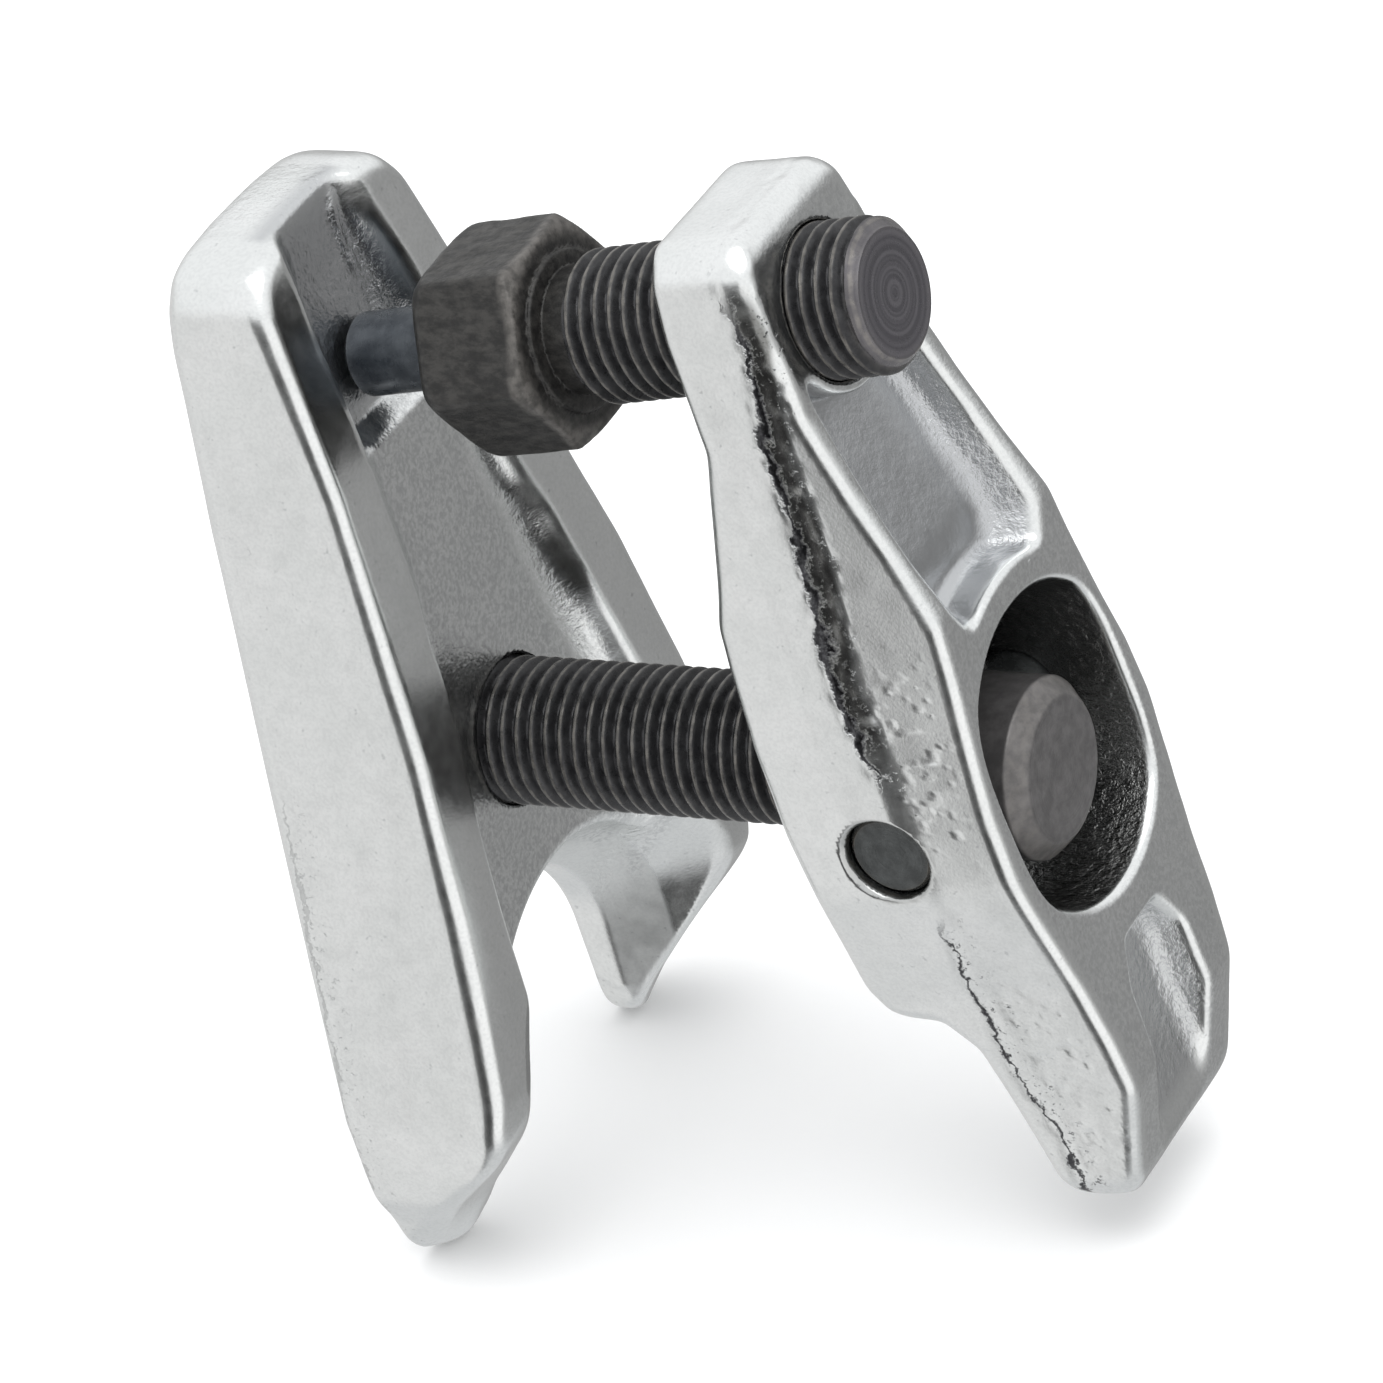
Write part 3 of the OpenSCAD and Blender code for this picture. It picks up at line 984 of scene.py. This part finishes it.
def fork_marks(x, y, z):
    """Where the fork arm is grainy, coarse or milled, where shade is painted in its pocket, and its
    faint parting line.
    """
    below_rib = RIB_TOPS(z) - x
    trough = smooth(below_rib, 1.0, 3.0) * smooth(RIB_INNER(z) - np.abs(y), -1.0, 0.5)
    in_pocket = smooth(z, POCKET_Z - 1, POCKET_Z + 4)
    milled = smooth(np.abs(fork_notch(x, y, z)), 0.5, 0.1) * smooth(x, TINE_X, TINE_X + 0.6)
    milled = milled * smooth(x, RIDGE_X + 0.3, RIDGE_X - 0.3)
    far_fillet = smooth(np.abs(RIB_INNER(z) - y - 3), 2.4, 0.6) * smooth(below_rib, 2, 4)
    far_fillet = far_fillet * smooth(x, 8, 12)
    outside = smooth(FORK_FRONT(y, z), -2, -1) * smooth(x, 1.5, 2.5)
    return {
        "trim": x - PARTING_X,
        "seam": 0.25 * outside * smooth(z, 10, 0),
        "front": trough * smooth(x, 14, 16) * (1 - far_fillet),
        # Painted shade in the pocket at the top of the trough.
        "sunk": trough * smooth(x, 8, 12) * in_pocket,
        "coarse": 0.45 * trough * in_pocket + 0.6 * far_fillet,
        "milled": milled,
        "ring": from_notch(x, y, z),
    }


def fork_arm():
    shape = surface(fork_field, FORK_LOW, FORK_HIGH, STEP, fork_detail)
    marks = fork_marks(*shape[0].T)
    finish = plated_steel("plated_fork_steel")
    piece("fork_arm_forging", "fork_arm", FORK_PLACE, shape, marks, finish)


def lever_marks(x, y, z):
    """Where the lever is grainy or coarse, where shade is painted in its recesses, inside its
    window and round the pin, and where its dark band and trim line run.
    """
    side = on_side(y, z)
    face = smooth(LEVER_FRONT(y, z), -2.4, -3.4) * smooth(x - LEVER_FACE(z), -0.5, -0.2)
    inside = smooth(lever_solid(x, y, z), -0.8, -2.0)
    in_window = smooth(from_window(y, z), 21, 20)
    lower = smooth(z, -18, -22)
    far_wall = smooth(UPPER_PANEL(y, z), -4, -2.5) * smooth(z, 20, 24) * smooth(y, -2, 2)
    # Painted shade on the hole's rim beside the pin.
    pin_rim_shade = smooth(np.hypot(x, z), PIN_R + 0.9, PIN_R + 0.4)
    past = x - TRIM_LINE(z) - 0.6 * noise(z, x, y, 2.8)
    band = smooth(np.abs(past - 1.2), 1.7, 0.9) * smooth(z, 8, 18) * smooth(z, 72, 67)
    dark = np.maximum(0.5 * pin_rim_shade, 0.95 * side * band)
    return {
        # Painted shade in the lever's panels, window and bores, weaker in the lower panel.
        "sunk": inside * blend(0.6, 1.0, smooth(z, -20, 10)),
        "coarse": inside * (0.18 + 0.82 * in_window + 0.6 * lower + 0.5 * far_wall),
        # Painted shade inside the window and round the pin, and the dark band along the trim line.
        "shade_and_band": np.maximum(0.78 * inside * in_window, dark),
        "front": 0.6 * face,
        "trim": past,
        "seam": side * trim_share(x, z) * smooth(z, 71, 65),
        "upper": smooth(z, 0, 14),
    }


def lever_arm():
    shape = surface(lever_field, LEVER_LOW, LEVER_HIGH, STEP, lever_detail)
    marks = lever_marks(*shape[0].T)
    finish = plated_steel("plated_lever_steel")
    piece("lever_arm_forging", "lever_arm", LEVER_PLACE, shape, marks, finish)


END_CHAMFER = 1.6


def threaded_rod(start, end, start_r):
    """Points, faces and marks of a threaded rod with a chamfered, closed end."""
    x, r, crest = threaded(start, end, start_r, END_CHAMFER)
    rim_r = THREAD_R - END_CHAMFER
    cap_x, cap_r = end_cap(end, rim_r)
    points, faces = lathe(np.concatenate([x, cap_x]), np.concatenate([r, cap_r]))
    worn = np.concatenate([0.45 * smooth(crest, 0.94, 1.0).ravel(), np.zeros(cap_r.size + 2)])
    x = points[:, 0]
    out = np.hypot(points[:, 1], points[:, 2])
    rim_x = end - END_CHAMFER
    chamfer = smooth(x, rim_x - 0.3, rim_x + 0.3) * smooth(out, rim_r - 0.4, rim_r)
    marks = {
        "ring": out,
        "turned": smooth(x, end - 0.4, end - 0.1),
        "wear": np.maximum(worn, 0.15 * chamfer),
        "end": smooth(x, rim_x, rim_x + 0.5),
    }
    return points, faces, marks


BOLT_THREAD_START = 9.6


def pivot_bolt_thread():
    """The bolt's thread, turned to run from the head to the fork arm's back."""
    points, faces, marks = threaded_rod(BOLT_THREAD_START, -BOLT_TAIL, THREAD_R - 1)
    shape = (points * np.array([-1, -1, 1]), faces, None)
    finish = thread_finish("black_bolt_oxide")
    piece("pivot_bolt_thread", "pivot_bolt", BOLT_PLACE, shape, marks, finish)


def pivot_bolt_head():
    shape = surface(head_field, HEAD_LOW, HEAD_HIGH, FINE_STEP, head_field)
    x, y, z = shape[0].T
    out = np.hypot(y, z)
    chamfer = smooth(out, HEAD_R - 2.3, HEAD_R - 1.9) * smooth(x, HEAD_END - 2.5, HEAD_END - 2.1)
    marks = {
        "ring": out,
        "turned": smooth(x, HEAD_END - 0.3, HEAD_END - 0.1),
        "wear": 0.3 * chamfer,
    }
    finish = blackened("bolt_head_oxide", HEAD_COLOURS, rough=0.3)
    piece("pivot_bolt_head", "pivot_bolt", BOLT_PLACE, shape, marks, finish)


def forcing_screw_hexagon():
    shape = surface(hexagon_field, HEX_LOW, HEX_HIGH, FINE_STEP, hexagon_detail)
    x, y, z = shape[0].T
    out = np.hypot(y, z)
    rim = smooth(np.abs(out - HEX_FACE_R - 0.85 * (HEX_FACE - x)), 1.6, 0.2)
    marks = {
        "ring": out,
        "turned": 0.3 * smooth(x, HEX_FACE - 0.3, HEX_FACE),
        "wear": 0.8 * rim * smooth(x, HEX_FACE - 2.2, HEX_FACE - 1),
    }
    finish = blackened(
        "brown_screw_oxide", SCREW_COLOURS, lumps=0.09, grain=0.045, streak=0.5, cloud=1.2
    )
    name = "forcing_screw_hexagon"
    piece(name, "forcing_screw", SCREW_PLACE, shape, marks, finish)


def forcing_screw_thread():
    points, faces, marks = threaded_rod(THREAD_START, SCREW_END, UNDERCUT_R)
    shape = (points, faces, None)
    finish = thread_finish("dark_thread_oxide")
    name = "forcing_screw_thread"
    piece(name, "forcing_screw", SCREW_PLACE, shape, marks, finish)


def cross_pin():
    points, faces = plain_pin(2 * PIN_HALF, PIN_R, 0.5)
    points = points[:, [1, 0, 2]] * np.array([-1, 1, 1]) - np.array([0, PIN_HALF, 0])
    x, y, z = points.T
    out = np.hypot(x, z)
    rim = smooth(out, PIN_R - 0.7, PIN_R - 0.4) * smooth(out, PIN_R - 0.05, PIN_R - 0.35)
    marks = {
        "ring": out,
        "turned": smooth(np.abs(y), PIN_HALF - 0.3, PIN_HALF - 0.1),
        "wear": 0.7 * rim,
    }
    shape = (points, faces, None)
    finish = blackened("black_pin_oxide", PIN_COLOURS, rough=0.2, lumps=0.01)
    piece("cross_pin_turned", "cross_pin", LEVER_PLACE, shape, marks, finish)


THRUST_TIP = -57.4


def thrust_pin():
    """The pin from its tip in the fork arm's pocket to just short of its hole's end."""
    length = HEX_X + THRUST_DEPTH - 0.3 - THRUST_TIP
    points, faces = plain_pin(length, THRUST_R, 0.8)
    points = points + np.array([THRUST_TIP, 0, 0])
    x = points[:, 0]
    marks = {
        "ring": x,
        "turned": np.full(len(x), 0.5),
        "wear": 0.3 * smooth(x, THRUST_TIP + 1.5, THRUST_TIP + 0.5),
    }
    shape = (points, faces, None)
    finish = blackened("blued_pin_oxide", THRUST_COLOURS, rough=0.24)
    piece("thrust_pin_turned", "thrust_pin", SCREW_PLACE, shape, marks, finish)


# Camera, floor and light.

AIM = Vector((-0.003418, -0.001457, 0.068372))
DISTANCE = 0.80245
VIEW_AZIMUTH = np.radians(-54.4746)
VIEW_ELEVATION = np.radians(30.2619)
VIEW_ROLL = np.radians(-15.8368)
LENS = 177.83
SENSOR_WIDTH = 36


def make_camera():
    """The camera, DISTANCE away from its aim and rolled about its view."""
    away = Vector(
        (
            np.cos(VIEW_ELEVATION) * np.cos(VIEW_AZIMUTH),
            np.cos(VIEW_ELEVATION) * np.sin(VIEW_AZIMUTH),
            np.sin(VIEW_ELEVATION),
        )
    )
    level = (-away).cross(Vector((0, 0, 1))).normalized()
    steep = level.cross(-away)
    right = level * np.cos(VIEW_ROLL) + steep * np.sin(VIEW_ROLL)
    up = steep * np.cos(VIEW_ROLL) - level * np.sin(VIEW_ROLL)
    eye = [AIM[k] + DISTANCE * away[k] for k in range(3)]
    camera = bpy.data.objects.new("camera", bpy.data.cameras.new("camera"))
    camera.data.lens = LENS
    camera.data.sensor_width = SENSOR_WIDTH
    rows = [[right[k], up[k], away[k], eye[k]] for k in range(3)]
    camera.matrix_world = Matrix(rows + [[0, 0, 0, 1]])
    bpy.context.scene.collection.objects.link(camera)
    bpy.context.scene.camera = camera


# Brightness of the studio round the horizon, by direction in degrees from +X towards +Y.
STUDIO = [
    (-180, 0.75),
    (-150, 0.80),
    (-128, 0.84),
    (-118, 0.80),
    (-108, 0.16),
    (-82, 0.05),
    (-66, 0.10),
    (-55, 1.05),
    (-12, 1.10),
    (0, 0.60),
    (22, 0.33),
    (60, 0.30),
    (115, 0.35),
    (140, 0.70),
    (180, 0.75),
]
STUDIO_CEILING = (1.0, 1.01, 1.02)
STUDIO_GROUND = (0.66, 0.67, 0.68)
BACKDROP = (1.0, 1.0, 1.0)


def studio_ramp(world, turn):
    """The studio's brightness for a turn from 0 to 1 round the horizon."""
    ramp = world.new("ValToRGB")
    stops = ramp.color_ramp.elements
    while len(stops) < len(STUDIO):
        stops.new(0.5)
    for stop, (degrees, level) in zip(stops, STUDIO):
        stop.position = (degrees + 180) / 360
        stop.color = (level, level, level, 1)
    world.feed(ramp.inputs[0], turn)
    return ramp.outputs[0]


def make_studio():
    """Soft walls of light round the horizon, a bright ceiling and ground, and a white backdrop."""
    studio = bpy.data.worlds.new("studio")
    studio.use_nodes = True
    bpy.context.scene.world = studio
    world = Nodes(studio.node_tree)
    direction = world.new("SeparateXYZ")
    world.feed(direction.inputs[0], world.new("TexCoord").outputs["Generated"])
    height = direction.outputs["Z"]
    angle = world.math("ARCTAN2", direction.outputs["Y"], direction.outputs["X"])
    walls = studio_ramp(world, world.remap(angle, -np.pi, np.pi, 0.0, 1.0, "LINEAR"))
    light = world.mix(world.remap(height, -0.66, -0.9, 0.0, 1.0), walls, STUDIO_GROUND)
    light = world.mix(world.remap(height, -0.1, 0.45, 0.0, 1.0), light, STUDIO_CEILING)
    light = world.mix(world.new("LightPath").outputs["Is Camera Ray"], light, BACKDROP)
    world.feed(world.nodes["Background"].inputs["Color"], light)


FLOOR_R = 5


def make_floor():
    """A wide round floor of pale paper."""
    mesh = bpy.data.meshes.new("floor")
    angles = np.radians(np.arange(0, 360, 5))
    rim = [(FLOOR_R * np.cos(a), FLOOR_R * np.sin(a), 0) for a in angles]
    mesh.from_pydata(rim, [], [range(len(rim))])
    floor = bpy.data.objects.new("floor", mesh)
    bpy.context.scene.collection.objects.link(floor)
    f = Finish("pale_floor")
    paper = f.bump(f.noise(3, 3), 0.05)
    tint = f.mix(f.noise(900, 2), (0.96, 0.96, 0.96), (0.98, 0.98, 0.98))
    mesh.materials.append(f.finish(tint, 0.9, paper))
    floor.visible_glossy = False


def area_light(name, place, size, power):
    """A round light that points at the tool."""
    light = bpy.data.lights.new(name, "AREA")
    light.shape = "DISK"
    light.size = size
    light.energy = power
    thing = bpy.data.objects.new(name, light)
    thing.location = place
    thing.rotation_euler = (AIM - Vector(place)).to_track_quat("-Z", "Y").to_euler()
    bpy.context.scene.collection.objects.link(thing)
    return thing


make_camera()
make_studio()
make_floor()
area_light("soft_key", place=(0.6, -0.3, 1.6), size=1.6, power=9)
area_light("floor_fill", place=(0, 0, 2.2), size=3.0, power=22).visible_glossy = False
bpy.context.scene.view_settings.view_transform = "Standard"

fork_arm()
lever_arm()
pivot_bolt_thread()
pivot_bolt_head()
cross_pin()
forcing_screw_hexagon()
forcing_screw_thread()
thrust_pin()
